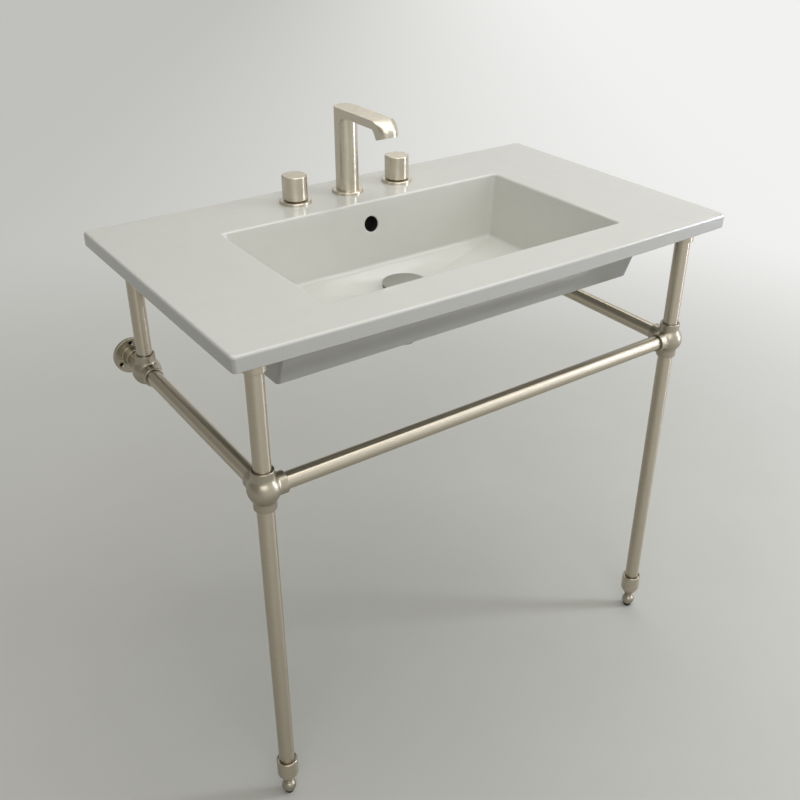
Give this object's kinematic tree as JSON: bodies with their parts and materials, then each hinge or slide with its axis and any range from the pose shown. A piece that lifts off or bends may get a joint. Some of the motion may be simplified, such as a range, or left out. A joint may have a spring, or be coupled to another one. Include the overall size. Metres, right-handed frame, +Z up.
{
  "type": "console bathroom sink",
  "caption": "Console sink: glazed slab basin with a rectangular bowl, deck tap with turning handles, pop-up waste and a brushed tube stand with ball fittings and screw feet.",
  "frame": {"origin": "on the floor, in the middle of the width and of the depth from the wall to the slab's front", "axes": "+X to the right as seen from the front, +Y towards the wall, +Z up"},
  "size_m": [0.876, 0.5199, 0.973],
  "materials": {
    "glazed_fireclay": "white gloss glaze on fireclay",
    "brushed_nickel_tube": "brushed nickel plate on drawn tube",
    "brushed_nickel_casting": "brushed nickel plate on machined castings",
    "brushed_nickel_tap": "brushed nickel plate on brass",
    "brushed_nickel_drain": "brushed nickel plate on brass",
    "valve_brass": "bare machined brass",
    "copper_tube": "drawn copper",
    "cartridge_plastic": "moulded acetal",
    "disc_ceramic": "lapped alumina",
    "rubber": "black moulded rubber",
    "screw_steel": "plain stainless screws"
  },
  "bodies": {
    "console": {"basin": "glazed_fireclay", "spout": "brushed_nickel_tap", "spout_ring": "brushed_nickel_tap", "aerator": "cartridge_plastic", "spout_shank": "valve_brass", "spout_tee": "valve_brass", "fixed_discs": "disc_ceramic", "deck_washers": "rubber", "deck_locknuts": "valve_brass", "drain_body": "brushed_nickel_drain", "drain_gasket": "rubber", "drain_lower_gasket": "rubber", "drain_locknut": "valve_brass", "drain_guide": "cartridge_plastic", "tailpiece": "brushed_nickel_drain", "front_crossbar": "brushed_nickel_tube", "front_post_collars": "brushed_nickel_casting", "rear_post_collars": "brushed_nickel_casting", "post_pads": "rubber", "set_screws": "screw_steel", "left_handle_ring": "brushed_nickel_tap", "left_valve_body": "valve_brass", "left_cartridge": "cartridge_plastic", "left_link_tube": "copper_tube", "left_corner_fitting": "brushed_nickel_casting", "left_rear_fitting": "brushed_nickel_casting", "left_front_post": "brushed_nickel_tube", "left_rear_post": "brushed_nickel_tube", "left_front_leg": "brushed_nickel_tube", "left_side_rail": "brushed_nickel_tube", "left_wall_flange": "brushed_nickel_casting", "left_foot_collar": "brushed_nickel_casting", "right_handle_ring": "brushed_nickel_tap", "right_valve_body": "valve_brass", "right_cartridge": "cartridge_plastic", "right_link_tube": "copper_tube", "right_corner_fitting": "brushed_nickel_casting", "right_rear_fitting": "brushed_nickel_casting", "right_front_post": "brushed_nickel_tube", "right_rear_post": "brushed_nickel_tube", "right_front_leg": "brushed_nickel_tube", "right_side_rail": "brushed_nickel_tube", "right_wall_flange": "brushed_nickel_casting", "right_foot_collar": "brushed_nickel_casting"},
    "left_handle": {"left_handle": "brushed_nickel_tap", "left_handle_screw": "screw_steel", "left_valve_stem": "valve_brass"},
    "right_handle": {"right_handle": "brushed_nickel_tap", "right_handle_screw": "screw_steel", "right_valve_stem": "valve_brass"},
    "stopper": {"stopper_cap": "brushed_nickel_drain", "stopper_plunger": "valve_brass", "stopper_seal": "rubber"},
    "left_glide": {"left_foot_glide": "rubber"},
    "left_foot": {"left_levelling_foot": "brushed_nickel_casting"},
    "right_glide": {"right_foot_glide": "rubber"},
    "right_foot": {"right_levelling_foot": "brushed_nickel_casting"}
  },
  "joints": [
    {"name": "left_handle_turn", "type": "hinge", "parent": "console", "child": "left_handle", "pos_m": [-0.1016, 0.192, 0.8565], "axis": [0, 0, 1], "range_deg": [0, 90]},
    {"name": "right_handle_turn", "type": "hinge", "parent": "console", "child": "right_handle", "pos_m": [0.1016, 0.192, 0.8565], "axis": [0, 0, 1], "range_deg": [-90, 0]},
    {"name": "stopper_slide", "type": "slide", "parent": "console", "child": "stopper", "axis": [0, 0, 1], "range_m": [-0.0039, 0]},
    {"name": "left_foot_slide", "type": "slide", "parent": "console", "child": "left_glide", "axis": [0, 0, 1], "range_m": [-0.01, 0.006]},
    {"name": "left_foot_turn", "type": "hinge", "parent": "left_glide", "child": "left_foot", "pos_m": [-0.392, -0.2116, 0.0145], "axis": [0, 0, 1], "range_deg": [-1815, 1095]},
    {"name": "right_foot_slide", "type": "slide", "parent": "console", "child": "right_glide", "axis": [0, 0, 1], "range_m": [-0.01, 0.006]},
    {"name": "right_foot_turn", "type": "hinge", "parent": "right_glide", "child": "right_foot", "pos_m": [0.392, -0.2116, 0.0145], "axis": [0, 0, 1], "range_deg": [-1815, 1095]}
  ],
  "couplings": [
    {"joint": "left_foot_turn", "follows": "left_foot_slide", "rad_per_m": 3141.6},
    {"joint": "right_foot_turn", "follows": "right_foot_slide", "rad_per_m": 3141.6}
  ]
}
